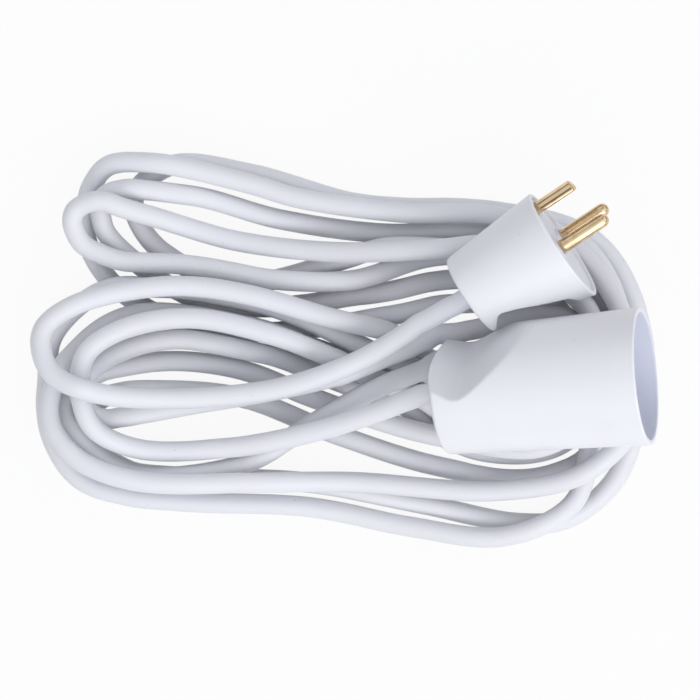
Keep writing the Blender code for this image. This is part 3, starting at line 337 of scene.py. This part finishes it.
def core_pvc(name, colour, stripe=None):
    """A core's insulation, glossier than the sheath; the earth core has a second colour."""
    finish = Finish(name)
    shade = tuple(0.8 * part for part in colour)
    base = finish.mixed(finish.noise(3 * MM, 2.0), colour, shade)
    if stripe:
        bands = finish.node("ShaderNodeTexWave",
                            {"wave_type": "BANDS", "bands_direction": "DIAGONAL"},
                            {"Vector": finish.place(), "Scale": 90.0, "Distortion": 1.0},
                            output=1)
        base = finish.mixed(finish.ramp(bands, 0.45, 0.55), base, stripe)
    finish.set("Base Color", base)
    finish.rough(1 * MM, 2.0, 0.30, 0.42)
    return finish.material


CORD_PVC = cord_pvc()
WHITE_PLASTIC = moulded_plastic("white_plastic_moulded",
                                (0.840, 0.845, 0.882), (0.830, 0.832, 0.862), 0.38)
# The faces: rougher and finer in grain, with a darker, bluer colour as painted shade.
FACE_SHADE_PLASTIC = moulded_plastic("white_plastic_face_painted_shade",
                               (0.80, 0.815, 0.88), (0.78, 0.795, 0.85), 0.5, 0.22 * MM)
# The recess wall: a rougher copy of the white plastic, darker and bluer as painted shade.
RECESS_SHADE_PLASTIC = moulded_plastic("white_plastic_recess_painted_shade",
                                 (0.67, 0.69, 0.79), (0.65, 0.67, 0.76), 0.5)
PALE_PLASTIC = moulded_plastic("pale_plastic_inner",
                               (0.72, 0.72, 0.74), (0.69, 0.69, 0.71), 0.5)
BRASS = brass("pin_brass")
ZINC_STEEL = zinc_steel()
SLOT_FINISHES = {
    "brown_core": core_pvc("brown_core_pvc", (0.16, 0.07, 0.03)),
    "blue_core": core_pvc("blue_core_pvc", (0.03, 0.13, 0.45)),
    "green_yellow_core": core_pvc("green_yellow_core_pvc",
                                  (0.10, 0.36, 0.07), (0.75, 0.65, 0.08)),
    "white_pvc": CORD_PVC, "white_plastic": WHITE_PLASTIC, "pale_plastic": PALE_PLASTIC,
    "brass": BRASS, "steel": ZINC_STEEL}


def finish_nodes():
    """Every part gets the finish of its material slot, and the two faces their own, darker and
    bluer as painted shade.
    """
    for part in frame["record"]["subparts"]:
        finish = SLOT_FINISHES[part["material_slot"]]
        if part["node"] in ("plug_base", "coupler_face"):
            finish = FACE_SHADE_PLASTIC
        materials = frame["nodes"][part["node"]].data.materials
        materials.clear()
        materials.append(finish)


# ---------------------------------------------------------------- making pieces

def piece(mesh, name, material, slot_name, *nodes, body="lead"):
    """A finished piece that stands for those parts and moves with their body."""
    thing = bpy.data.objects.new(name, mesh)
    bpy.context.scene.collection.objects.link(thing)
    mesh.materials.clear()
    mesh.materials.append(material)
    mesh.shade_smooth()
    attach(thing, body)
    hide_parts(*nodes)
    return thing


def fitting_matrix(at, lie):
    """The place of a fitting: Z towards its front, Y towards its earth side."""
    heading, tilt, turn = lie
    along = Vector((cos(heading) * cos(tilt), sin(heading) * cos(tilt), sin(tilt)))
    side = Vector((-sin(heading), cos(heading), 0))
    y = side * cos(turn) + along.cross(side) * sin(turn)
    x = y.cross(along)
    return Matrix.Translation(at - ORIGIN) @ Matrix((x, y, along)).transposed().to_4x4()


def steps(start, stop, size):
    """Values from start to stop, both included, about size apart."""
    return np.linspace(start, stop, max(2, int(round(abs(stop - start) / size)) + 1))


def rounded(middle, radius, start, stop, count=6):
    """Points of an arc, angles in degrees."""
    return [(middle[0] + radius * cos(radians(a)), middle[1] + radius * sin(radians(a)))
            for a in np.linspace(start, stop, count + 1)]


def soft_least(first, second, blend):
    """The smaller of two values, rounded over where they cross."""
    share = np.clip(0.5 + 0.5 * (second - first) / blend, 0, 1)
    return second * (1 - share) + first * share - blend * share * (1 - share)


def scoop_floor(points, soft, wall=0.0):
    """The scoop's floor as a smooth function of the distance along the housing, with
    its corners rounded over soft millimetres; wall sinks it, for the inner skin."""
    per_mm = 10
    z = np.arange(points[0][0], points[-1][0], 1 / per_mm)
    plain = np.interp(z, *zip(*points))
    half = int(per_mm * soft / 2)
    window = np.hanning(2 * half + 1)
    padded = np.pad(plain, half, mode="edge")
    smooth = np.convolve(padded, window / window.sum(), mode="valid")
    return lambda at: np.interp(at / MM, z, smooth) * MM - wall


def ring_mesh(name, rings, closed):
    """A mesh from rings of points, each joined to the next, and if closed the last one
    to the first."""
    count, around = len(rings), len(rings[0])
    corners = np.asarray(rings).reshape(-1, 3)
    here = np.arange(count if closed else count - 1)[:, None] * around + np.arange(around)
    beside = np.roll(here, -1, axis=1)
    above = (here + around) % (count * around)
    above_beside = (beside + around) % (count * around)
    faces = np.stack([here, beside, above_beside, above], -1).reshape(-1, 4)
    mesh = bpy.data.meshes.new(name)
    mesh.from_pydata(corners.tolist(), [], faces.tolist())
    return mesh


def placed(matrix, mesh, *others):
    """One mesh of several, with its faces turned outwards, where the fitting lies."""
    joined = bmesh.new()
    for each in (mesh, *others):
        joined.from_mesh(each)
    bmesh.ops.remove_doubles(joined, verts=joined.verts, dist=1e-7)
    bmesh.ops.recalc_face_normals(joined, faces=joined.faces)
    joined.to_mesh(mesh)
    joined.free()
    mesh.transform(matrix)
    return mesh


def housing(name, matrix, outer, inner, floors, middle_at, around, edge):
    """A moulded shell: an outer and an inner profile of (radius, z), turned about the
    housing's middle line and pulled in to the flat floor of the finger scoop."""
    inner_edge = 0.05 * MM
    level, no_limit = 1e-3, 1.0
    angle = np.arange(around) / around * tau
    facing = np.cos(angle)
    rings = []
    for profile, floor_at, blend in ((outer, floors[0], edge), (inner, floors[1], inner_edge)):
        for radius, z in profile:
            limit = np.where(facing > level, floor_at(z) / np.maximum(facing, level), no_limit)
            r = soft_least(np.full(around, radius), limit, blend)
            rings.append(np.stack([r * np.sin(angle), middle_at(z) - r * facing,
                                   np.full(around, z)], 1))
    return placed(matrix, ring_mesh(name, rings, closed=True))


def domed_rear(rear_r, bulge, hole_end, last_r, size):
    """The outer profile from inside the cord hole, over the hole's rounded edge and out
    across the domed rear to last_r."""
    def dome(r):
        return -bulge * (1 - (r / rear_r) ** 2)

    corner = dome(HOLE_R) + HOLE_EDGE
    profile = [(HOLE_R, hole_end), (HOLE_R, corner)]
    profile += rounded((HOLE_R + HOLE_EDGE, corner), HOLE_EDGE, 180, 265, 4)
    return profile + [(r, dome(r)) for r in steps(HOLE_R + HOLE_RIM, last_r, size)]


# ---------------------------------------------------------------- plug

def plug_middle(z):
    return PLUG_REAR_SHIFT + (PLUG_FRONT_SHIFT - PLUG_REAR_SHIFT) * z / PLUG_LENGTH


def plug_radius(z):
    return PLUG_REAR_R + (PLUG_FRONT_R - PLUG_REAR_R) * z / PLUG_LENGTH


def plug_housing(matrix):
    front = PLUG_LENGTH
    inner_r = PLUG_FRONT_R - PLUG_RIM
    rear_inner_r = plug_radius(WALL) - WALL
    front_edge, inner_edge = EDGE * 0.8, 0.3 * MM
    clear = 0.3 * MM

    outer = domed_rear(PLUG_REAR_R, PLUG_BULGE, -0.2 * MM, PLUG_REAR_R - 1.2 * EDGE, 0.7 * MM)
    outer += rounded((PLUG_REAR_R - EDGE, EDGE - 0.15 * MM), EDGE, -80, -5, 6)
    outer += [(plug_radius(z), z) for z in steps(EDGE + clear, front - EDGE - clear, 0.45 * MM)]
    outer += rounded((PLUG_FRONT_R - front_edge, front - front_edge), front_edge, 8, 90, 6)
    outer += rounded((inner_r + inner_edge, front - inner_edge), inner_edge, 90, 180, 4)
    inner = [(inner_r - (inner_r - rear_inner_r) * (front - z) / (front - WALL), z)
             for z in steps(front - 0.8 * MM, WALL, 1.2 * MM)]
    inner += [(r, WALL) for r in steps(rear_inner_r - 0.6 * MM, HOLE_R, 1.5 * MM)]
    floors = scoop_floor(PLUG_SCOOP_SEEN, 0.8), scoop_floor(PLUG_SCOOP, 1.2, WALL)
    return housing("plug_housing", matrix, outer, inner, floors, plug_middle,
                   around=240, edge=0.7 * MM)


def earth_ring(z, inset, size, notch):
    """The half-round outline of the earth pin at z: inset all round, scaled by size
    towards its flat side, with the middle of that side set back by notch."""
    low = EARTH_Y - EARTH_THICK / 2 + inset
    half = EARTH_WIDE / 2 - inset
    centre = EARTH_Y + EARTH_THICK / 2 - EARTH_WIDE / 2
    angle = np.radians(np.linspace(0, 180, 31))
    flat = np.linspace(-half, half, 13)[1:-1]
    x = np.concatenate((half * np.cos(angle), flat))
    y = np.concatenate((centre + half * np.sin(angle), np.full(len(flat), low)))
    on_flat = y < low + 0.1 * MM
    in_notch = np.abs(x) < 0.6 * half
    set_back = np.where(on_flat & in_notch, notch, 0)
    return np.stack([x * size, low + (y - low) * size, z - set_back], 1)


def earth_pin(matrix):
    """The hollow earth pin, folded from sheet to a half-round with a domed, notched nose,
    with its strap and terminal behind the face."""
    face = PLUG_LENGTH - PLUG_FACE_DEPTH
    tip = face + EARTH_REACH
    root = face - 5.4 * MM
    hollow_end = face + 1.5 * MM
    dome, notch, nose_thick = 1.3 * MM, 1.2 * MM, 0.5 * MM
    draw_in, inner_draw_in = 0.6, 0.65
    point = 0.02
    up = np.linspace(0, 1, 8)
    across = np.sqrt(1 - up ** 2)
    rings = [earth_ring(root, 0, point, 0), earth_ring(root, 0, 0.95, 0)]
    rings += [earth_ring(z, 0, 1, 0) for z in steps(root + 0.2 * MM, tip - dome, 1.2 * MM)]
    rings += [earth_ring(tip - dome + dome * u, 0, 1 - draw_in * (1 - a), notch * u ** 2)
              for u, a in zip(up[1:], across[1:])]
    rings += [earth_ring(tip - nose_thick - dome + dome * u, EARTH_WALL,
                         1 - inner_draw_in * (1 - a), notch * u ** 2)
              for u, a in zip(up[::-1], across[::-1])]
    rings += [earth_ring(hollow_end, EARTH_WALL, size, 0) for size in (1, point)]

    strap = bmesh.new()
    wide, thick, inner_y = 4.8 * MM, 1.6 * MM, EARTH_TERMINAL_Y - 1 * MM
    bmesh.ops.create_cube(strap, size=1)
    strap.transform(Matrix.Translation((0, (inner_y + EARTH_Y) / 2, root + thick / 2))
                    @ Matrix.Diagonal((wide, EARTH_Y - inner_y, thick, 1)))
    bmesh.ops.bevel(strap, geom=strap.edges[:], offset=0.25 * MM, segments=2,
                    affect="EDGES", profile=0.6)
    strap_mesh = bpy.data.meshes.new("strap")
    strap.to_mesh(strap_mesh)
    strap.free()

    low = face - PLUG_BASE_DEEP - TERMINAL_LONG
    high = root + thick
    r, bore, bore_end, edge = EARTH_TERMINAL_D / 2, 1.3 * MM, low + 6 * MM, 0.3 * MM
    outline = [(0, bore_end), (bore, bore_end), (bore, low), (r - edge, low), (r, low + edge),
               (r, high - edge), (r - edge, high), (0, high)]
    around = 40
    angle = np.arange(around) / around * tau
    terminal = [np.stack([radius * np.cos(angle), EARTH_TERMINAL_Y + radius * np.sin(angle),
                          np.full(around, z)], 1) for radius, z in outline]
    return placed(matrix, ring_mesh("earth_pin_folded", rings, closed=False), strap_mesh,
                  ring_mesh("terminal", terminal, closed=False))


# ---------------------------------------------------------------- coupler

def coupler_radius(z):
    return COUPLER_REAR_R + (COUPLER_MOUTH_R - COUPLER_REAR_R) * z / COUPLER_LENGTH


def coupler_housing(matrix):
    mouth = COUPLER_LENGTH
    lip, clear = 0.45 * MM, 0.3 * MM
    scoop_end, plain_from = 38 * MM, 40 * MM
    inner_bulge = 3.2 * MM

    outer = domed_rear(COUPLER_REAR_R, COUPLER_BULGE, -1.6 * MM, COUPLER_REAR_R - 1.3 * EDGE,
                       0.6 * MM)
    outer += rounded((COUPLER_REAR_R - EDGE, EDGE * 0.75), EDGE, -68, -4, 6)
    outer += [(coupler_radius(z), z) for z in steps(EDGE + clear, scoop_end, 0.5 * MM)]
    outer += [(coupler_radius(z), z) for z in steps(plain_from, mouth - lip - clear, 2.5 * MM)]
    outer += rounded((COUPLER_MOUTH_R - lip, mouth - lip), lip, 5, 90, 5)
    outer += rounded((COUPLER_MOUTH_R - WALL + lip, mouth - lip), lip, 90, 175, 5)
    inner = [(coupler_radius(z) - WALL, z)
             for z in (*steps(mouth - lip - clear, plain_from, 2.5 * MM),
                       *steps(scoop_end, WALL, 1.2 * MM))]
    inner += [(r, WALL - inner_bulge * (1 - (r / COUPLER_REAR_R) ** 2))
              for r in steps(coupler_radius(WALL) - WALL - 0.6 * MM, HOLE_R, 1.5 * MM)]
    floors = scoop_floor(COUPLER_SCOOP, 2.0), scoop_floor(COUPLER_SCOOP, 2.0, WALL)
    return housing("coupler_housing", matrix, outer, inner, floors, lambda z: 0 * z,
                   around=280, edge=0.9 * MM)


def paint_recess_shade(thing, matrix):
    """Gives the wall of the coupler's recess its own, duller finish, darker and bluer as painted
    shade.
    """
    thing.data.materials.append(RECESS_SHADE_PLASTIC)
    back = matrix.inverted()
    for face in thing.data.polygons:
        at = back @ face.center
        inside = Vector((at.x, at.y)).length < coupler_radius(at.z) - 0.8 * WALL
        if inside and at.z > COUPLER_LENGTH - RECESS_DEEP - 1 * MM:
            face.material_index = 1


# ---------------------------------------------------------------- cord

def smooth_curve(points, count=16):
    """A smooth curve through points. Its pace from one to the next follows the square
    root of their distance in plan, so that it doesn't loop where they lie close."""
    points = np.asarray(points, float)
    padded = np.vstack([2 * points[0] - points[1], points, 2 * points[-1] - points[-2]])
    pieces = []
    for four in zip(padded, padded[1:], padded[2:], padded[3:]):
        gaps = [np.linalg.norm((b - a)[:2]) ** 0.5 for a, b in zip(four, four[1:])]
        knots = np.cumsum([0, *gaps])
        t = np.linspace(knots[1], knots[2], count, endpoint=False)[:, None]

        def mix(a, b, i, j):
            return ((knots[j] - t) * a + (t - knots[i]) * b) / (knots[j] - knots[i])

        first, middle, last = (mix(four[k], four[k + 1], k, k + 1) for k in range(3))
        pieces.append(mix(mix(first, middle, 0, 2), mix(middle, last, 1, 3), 1, 2))
    return np.vstack(pieces + [points[-1:]])


def even_points(curve, step):
    """Points about a step apart in plan along a curve, and how far along each one is."""
    lengths = np.linalg.norm(np.diff(curve[:, :2], axis=0), axis=1)
    travelled = np.concatenate(([0], np.cumsum(lengths)))
    marks = np.linspace(0, travelled[-1], int(round(travelled[-1] / step)) + 1)
    return np.stack([np.interp(marks, travelled, column) for column in curve.T], 1), marks


def share_out(points, first, second, push):
    """Moves both points of each pair apart, averaged where a point is in several."""
    total = np.zeros_like(points)
    count = np.zeros(len(points))
    np.add.at(total, first, push)
    np.add.at(total, second, -push)
    np.add.at(count, first, 1)
    np.add.at(count, second, 1)
    return total / np.maximum(count, 1)[:, None]


def lay_cord(plug, coupler, rounds=460, step=CORD_SAMPLE):
    """Settles the route into a pile. Each strand starts high, in the order of its
    layer, and sinks until it rests on the floor or on the strands below. The two
    fittings come down on the pile with it, and each end stays straight out of its
    fitting."""
    spread = CORD_D + LAY_GAP
    floor = CORD_D * (0.5 - CORD_FLAT)
    route = np.array([(x * MM - ORIGIN.x, y * MM - ORIGIN.y, layer) for x, y, layer in ROUTE])
    fittings = []
    for matrix, bulge, length, rear_r, front_r, shifts in (
            (plug, PLUG_BULGE, PLUG_LENGTH, PLUG_REAR_R, PLUG_FRONT_R,
             (PLUG_REAR_SHIFT, PLUG_FRONT_SHIFT)),
            (coupler, COUPLER_BULGE, COUPLER_LENGTH, COUPLER_REAR_R, COUPLER_MOUTH_R, (0, 0))):
        rear, front = (np.array(matrix @ Vector((0, shift, z)))
                       for shift, z in zip(shifts, (0, length)))
        along = (front - rear) / np.linalg.norm(front - rear)
        fittings.append((rear, along, np.array(matrix)[:3, 2], bulge, length, rear_r, front_r))
    exits = [rear - way * (bulge + FIT) for rear, _, way, bulge, *_ in fittings]
    route[0, :2] = exits[0][:2]
    route[-1, :2] = exits[1][:2]
    plan, marks = even_points(smooth_curve(route), step)
    count = len(plan)
    points = plan.copy()
    points[:, 2] = floor + (plan[:, 2] - plan[:, 2].min()) * CORD_LAYER
    aim = plan[:, :2].copy()

    straight, own_points = 2, 8  # points held at each end, and in reach of its fitting
    held = np.concatenate((np.arange(straight), count - 1 - np.arange(straight)))
    backwards = step * np.arange(straight)[:, None]
    held_at = np.vstack([exits[end] - fittings[end][2] * backwards for end in (0, 1)])
    points[held] = held_at
    aim[held] = held_at[:, :2]
    apart = np.triu(np.abs(marks[:, None] - marks[None]) > 2.6 * CORD_D)
    reach = 3
    chord = 2 * LEAST_BEND * sin(reach * step / LEAST_BEND)
    margin = CORD_D / 2 + LAY_GAP / 2
    lift = CORD_LAYER * 9.5
    fittings_down, strands_down = rounds * 0.65, rounds * 0.85  # the rounds they end in
    look_every, look_past = 15, 7 * MM  # how often, and how far out, for near strands
    keep, sink, stiff = 0.10, 0.75 * MM, 0.1
    slack_share = np.array((0.1, 0.1, 0.08))
    push_share, unbend_share = 1.4, 0.25
    smoothings, pushes = 5, 4

    for turn in range(rounds):
        above = np.array((0, 0, lift * max(0.0, 1 - turn / fittings_down)))
        if turn % look_every == 0:
            near = np.square(points[:, None] - points[None]).sum(-1) < (spread + look_past) ** 2
            first, second = np.where(near & apart)
        points[:, 2] -= sink * max(0.0, 1 - turn / strands_down)
        points[:, :2] += keep * (aim - points[:, :2])
        shape = points.copy()
        shape[:, :2] -= aim
        for _ in range(smoothings):
            ends = np.pad(shape, ((2, 2), (0, 0)), mode="edge")
            bend = ends[:-4] - 4 * ends[1:-3] + 6 * ends[2:-2] - 4 * ends[3:-1] + ends[4:]
            slack = ends[1:-3] + ends[3:-1] - 2 * ends[2:-2]
            shape = shape - stiff * bend + slack_share * slack
        points = shape
        points[:, :2] += aim
        for _ in range(pushes):
            between = points[first] - points[second]
            distance = np.linalg.norm(between, axis=1) + 1e-9
            hit = distance < spread
            push = ((spread - distance[hit]) / distance[hit] * 0.5)[:, None] * between[hit]
            points += share_out(points, first[hit], second[hit], push) * push_share
            across = points[2 * reach:] - points[:-2 * reach]
            distance = np.linalg.norm(across, axis=1) + 1e-9
            tight = np.where(distance < chord)[0]
            push = (chord - distance[tight]) / distance[tight] * unbend_share
            points += share_out(points, tight + 2 * reach, tight, push[:, None] * across[tight])
            for end, (rear, along, _, bulge, length, rear_r, front_r) in enumerate(fittings):
                offset = points - rear - above
                down = offset @ along
                radial = offset - down[:, None] * along
                size = np.linalg.norm(radial, axis=1) + 1e-9
                need = rear_r + (front_r - rear_r) * np.clip(down / length, 0, 1) + margin
                inside = (down > -bulge - margin) & (down < length + margin) & (size < need)
                own = slice(0, own_points) if end == 0 else slice(count - own_points, count)
                inside[own] = False
                out = need - size
                behind = inside & (down < 0) & (down + bulge + margin < out)
                ahead = inside & (down > length) & (length + margin - down < out)
                beside = inside & ~behind & ~ahead
                points[behind] -= along * (down[behind] + bulge + margin)[:, None]
                points[ahead] += along * (length + margin - down[ahead])[:, None]
                points[beside] += radial[beside] / size[beside][:, None] * out[beside][:, None]
            points[:, 2] = np.maximum(points[:, 2], floor)
            points[held] = held_at + above
    return points


def finer(points, times=2):
    """Halves every step of a line, on a curve through its points."""
    for _ in range(times):
        padded = np.vstack([2 * points[0] - points[1], points, 2 * points[-1] - points[-2]])
        between = (9 * (padded[1:-2] + padded[2:-1]) - padded[:-3] - padded[3:]) / 16
        both = np.empty((2 * len(points) - 1, 3))
        both[0::2] = points
        both[1::2] = between
        points = both
    return points


def cord_mesh(points, diameter):
    """A round tube along the points, pressed flat where it rests on the floor."""
    lowest = 0.02 * MM
    curve = bpy.data.curves.new("cord_line", "CURVE")
    curve.dimensions = "3D"
    curve.bevel_depth = diameter / 2
    curve.bevel_resolution = 5
    curve.use_fill_caps = True
    line = curve.splines.new("POLY")
    line.points.add(len(points) - 1)
    for point, at in zip(line.points, points):
        point.co = (*at, 1)
    guide = bpy.data.objects.new("cord_line", curve)
    bpy.context.scene.collection.objects.link(guide)
    bpy.context.view_layer.update()
    depsgraph = bpy.context.evaluated_depsgraph_get()
    mesh = bpy.data.meshes.new_from_object(guide.evaluated_get(depsgraph))
    bpy.data.objects.remove(guide)
    for vertex in mesh.vertices:
        vertex.co.z = max(vertex.co.z, lowest)
    return mesh


def make_cord(plug, coupler, *on_it):
    """Lays the whole cord, with its ends inside the plug and the coupler. on_it, the plug's new
    pieces, is not used."""
    settled = lay_cord(plug, coupler)
    inside = 10 * MM
    for end, matrix, shift in ((0, plug, PLUG_REAR_SHIFT), (-1, coupler, 0)):
        inner_end = np.array(matrix @ Vector((0, shift, inside)))
        extra = np.linspace(inner_end, settled[end], 5)[:-1]
        settled = np.vstack([extra, settled]) if end == 0 else np.vstack([settled, extra[::-1]])
    points = finer(settled)
    thing = piece(cord_mesh(points, CORD_D), "cord_sheath", CORD_PVC, "white_pvc",
                  "cord", "plug_sheath_end", "coupler_sheath_end")
    inner = [name for name in frame["nodes"] if name.startswith("plug_") or name.endswith("_pin")]
    inner = [name for name in inner if name not in ("plug_sheath_end", "plug_cover", "earth_pin")]


def make_shutter_spring(coupler):
    """The shutter's compression spring, wound close at both ends. The real one squeezes towards
    its seat as the shutter opens; this one is made at one length."""
    seat = SHUTTER_BACK - SHUTTER_TRAVEL - SPRING_SQUEEZED
    depth = COUPLER_LENGTH - RECESS_DEEP - FACE_THICK - 2 * FIT - SPRING_D / 2
    r = (SPRING_D - SPRING_WIRE) / 2
    low, high = seat + SPRING_WIRE / 2, SHUTTER_BACK - FIT - SPRING_WIRE / 2
    close = 1.05 * SPRING_WIRE
    per_turn = 24
    turn = np.linspace(0, SPRING_TURNS, SPRING_TURNS * per_turn + 1)
    along = np.interp(turn, (0, 1, SPRING_TURNS - 1, SPRING_TURNS),
                      (low, low + close, high - close, high))
    points = [coupler @ Vector((r * cos(tau * t), y, depth + r * sin(tau * t)))
              for t, y in zip(turn, along)]
    spring = piece(cord_mesh(points, SPRING_WIRE), "shutter_spring_wound", ZINC_STEEL,
                   "steel", "shutter_spring")
    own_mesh(spring)


# ---------------------------------------------------------------- room

def make_camera():
    """Straight down on the middle of the picture."""
    camera = bpy.data.objects.new("camera", bpy.data.cameras.new("camera"))
    camera.data.lens = FOCAL_IN_PICTURE / PICTURE * SENSOR
    camera.data.sensor_width = SENSOR
    camera.data.clip_start = 0.05
    camera.location = (-ORIGIN.x, -ORIGIN.y, CAMERA_HEIGHT)
    bpy.context.scene.collection.objects.link(camera)
    bpy.context.scene.camera = camera


def softbox(name, at, target, width, height, power):
    """A soft lamp, faintly warm, that is turned to its target."""
    light = bpy.data.lights.new(name, "AREA")
    light.shape = "RECTANGLE"
    light.size = width
    light.size_y = height
    light.energy = power
    light.color = (1.0, 0.99, 0.975)
    thing = bpy.data.objects.new(name, light)
    thing.location = at
    thing.rotation_euler = (Vector(target) - Vector(at)).to_track_quat("-Z", "Y").to_euler()
    bpy.context.scene.collection.objects.link(thing)


def make_floor():
    """A white floor, left white where it is seen directly or in a reflection, apart
    from a pale shadow."""
    white_share = 0.92
    bpy.ops.mesh.primitive_plane_add(size=4)
    floor = bpy.context.object
    floor.name = "floor"
    finish = Finish("floor_white", Base_Color=(0.76, 0.76, 0.77), Roughness=1.0)
    seen = sum((finish.node("ShaderNodeLightPath", output=kind)
                for kind in ("Is Camera Ray", "Is Glossy Ray", "Is Transmission Ray")), 0.0)
    glow = finish.node("ShaderNodeEmission", None, {"Strength": 1.0})
    surface = finish.node("ShaderNodeMixShader", None,
                          {0: seen * white_share, 2: glow,
                           1: Value(finish.tree, finish.shader.outputs[0])})
    finish.tree.links.new(surface.socket, finish.tree.nodes["Material Output"].inputs["Surface"])
    floor.data.materials.append(finish.material)


def make_light():
    """A large and a narrow soft lamp on the lower right, and a pale room: brighter to the
    right, darker along the horizon and in the gap between its ceiling panels."""
    softbox("key", (0.58, -0.82, 0.95), (0.02, 0, 0.02), 1.1, 0.9, 4.5)
    softbox("strip", (0.12, -0.92, 0.85), (0.04, 0, 0.04), 0.55, 0.22, 0.8)
    world = bpy.data.worlds.new("studio")
    bpy.context.scene.world = world
    world.use_nodes = True
    room = Nodes(world.node_tree)
    way = room.node("ShaderNodeTexCoord")
    height = room.node("ShaderNodeSeparateXYZ", None, {"Vector": way}, output="Z")

    def along(direction):
        return room.node("ShaderNodeVectorMath", {"operation": "DOT_PRODUCT"},
                         {0: way, 1: direction}, output="Value")

    walls = room.ramp(height, 0.05, 0.5, 0.26, 1.12)
    side = room.ramp(along((0.95, -0.31, 0.0)), -0.8, 0.8, 0.82, 1.12)
    across = along((-0.552, 0.834, 0.0))
    gap = room.ramp(across, 0.08, 0.12, 0.0, 1.0) * room.ramp(across, 0.44, 0.48, 1.0, 0.0)
    ceiling = room.ramp(height, 0.70, 0.80, 0.0, 0.85)
    strength = (walls - gap * ceiling) * side
    backdrop = world.node_tree.nodes["Background"]
    backdrop.inputs["Color"].default_value = (0.94, 0.955, 1.0, 1)
    world.node_tree.links.new(strength.socket, backdrop.inputs["Strength"])


bpy.context.scene.view_settings.view_transform = "Standard"
make_camera()
make_light()
make_floor()
finish_nodes()
plug_place = fitting_matrix(PLUG_AT, PLUG_LIE)
coupler_place = fitting_matrix(COUPLER_AT, COUPLER_LIE)
plug_pieces = (
    piece(plug_housing(plug_place), "plug_housing", WHITE_PLASTIC, "white_plastic",
          "plug_cover"),
    piece(earth_pin(plug_place), "earth_pin_folded", BRASS, "brass", "earth_pin"))
make_cord(plug_place, coupler_place, *plug_pieces)
paint_recess_shade(piece(coupler_housing(coupler_place), "coupler_housing", WHITE_PLASTIC,
                  "white_plastic", "coupler_cover"), coupler_place)
make_shutter_spring(coupler_place)
